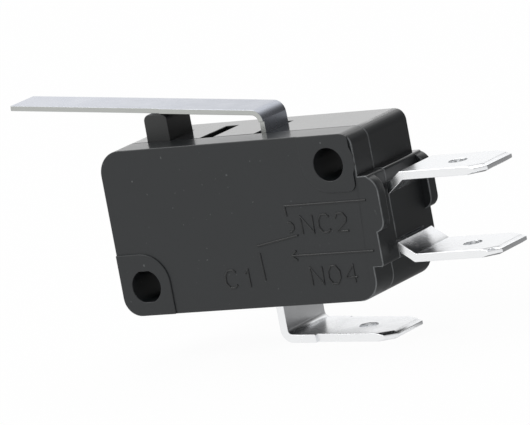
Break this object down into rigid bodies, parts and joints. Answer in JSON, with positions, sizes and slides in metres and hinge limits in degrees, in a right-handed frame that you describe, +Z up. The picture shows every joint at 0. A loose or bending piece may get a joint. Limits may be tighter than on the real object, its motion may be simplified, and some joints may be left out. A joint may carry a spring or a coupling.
{
  "type": "lever micro switch",
  "caption": "Snap-action micro switch in a black two-part case with a long flat lever, plunger and push-on tab terminals.",
  "frame": {"origin": "axis of the lower mounting hole, halfway between the front face and the rear face of the case", "axes": "+X along the case towards the terminals, +Y from the front cover to the rear wall, +Z up towards the plunger and the lever"},
  "size_m": [0.0508, 0.0105, 0.0248],
  "materials": {
    "case_plastic": "satin black moulded thermoplastic",
    "plunger_plastic": "dark grey moulded acetal",
    "stainless_strip": "rolled stainless strip, bright satin",
    "tinned_brass": "tin-plated brass, bright",
    "silver_alloy": "silver alloy contact",
    "copper_strip": "rolled copper alloy strip",
    "spring_wire": "drawn stainless spring wire"
  },
  "bodies": {
    "housing": {"case": "case_plastic", "front_cover": "case_plastic", "common_terminal": "tinned_brass", "nc_terminal": "tinned_brass", "no_terminal": "tinned_brass", "nc_contact": "silver_alloy", "no_contact": "silver_alloy"},
    "lever": {"lever": "stainless_strip"},
    "plunger": {"plunger": "plunger_plastic"},
    "actuating_arm": {"actuating_arm": "stainless_strip", "snap_spring": "spring_wire"},
    "contact_arm": {"contact_arm": "copper_strip", "moving_contact": "silver_alloy"}
  },
  "joints": [
    {"name": "lever_press", "type": "hinge", "parent": "housing", "child": "lever", "pos_m": [0.01385, 0.0001, 0.0108], "axis": [0, -1, 0], "range_deg": [0, 9.9], "stiffness_Nm_per_rad": 0.1, "springref_deg": -5.73},
    {"name": "plunger_slide", "type": "slide", "parent": "housing", "child": "plunger", "axis": [0, 0, -1], "range_m": [0, 0.00201]},
    {"name": "actuating_arm_turn", "type": "hinge", "parent": "housing", "child": "actuating_arm", "pos_m": [0.0102, 0.0001, 0.0076], "axis": [0, -1, 0], "range_deg": [0, 14.44]},
    {"name": "contact_arm_turn", "type": "hinge", "parent": "housing", "child": "contact_arm", "pos_m": [0.0062, 0.0001, 0.0044], "axis": [0, 1, 0], "range_deg": [0, 2.79]}
  ],
  "couplings": [
    {"joint": "plunger_slide", "follows": "lever_press", "m_per_rad": 0.01162},
    {"joint": "actuating_arm_turn", "follows": "lever_press", "ratio": 1.458},
    {"joint": "contact_arm_turn", "follows": "lever_press", "ratio": 0.28136}
  ]
}
